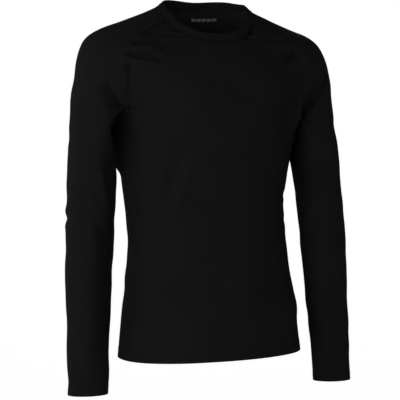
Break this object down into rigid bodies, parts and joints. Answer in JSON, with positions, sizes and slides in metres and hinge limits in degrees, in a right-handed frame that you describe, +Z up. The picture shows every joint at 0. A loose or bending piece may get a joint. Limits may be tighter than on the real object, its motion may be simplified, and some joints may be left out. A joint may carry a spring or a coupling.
{
  "type": "long-sleeved crew-neck base layer top",
  "caption": "Close-fitting long-sleeved knit base layer top with raglan sleeves and a narrow crew neckband, hollow and filled out as worn.",
  "frame": {"origin": "middle of the neck opening at its base, level with the high point of the shoulders, where a wearer or a form holds the garment", "axes": "+X towards the wearer's left, +Y towards the wearer's back so the front faces -Y, +Z up out of the neck"},
  "size_m": [0.5994, 0.2875, 0.7686],
  "materials": {
    "front_body": "fine matt jersey knit",
    "back_body": "fine matt jersey knit",
    "right_sleeve": "fine matt jersey knit",
    "left_sleeve": "fine matt jersey knit",
    "neckband": "fine matt jersey knit",
    "side_label": "woven tab, dull"
  },
  "bodies": {
    "root": {"front_body": "front_body", "back_body": "back_body", "right_sleeve": "right_sleeve", "left_sleeve": "left_sleeve", "neckband": "neckband", "side_label": "side_label"}
  },
  "joints": []
}
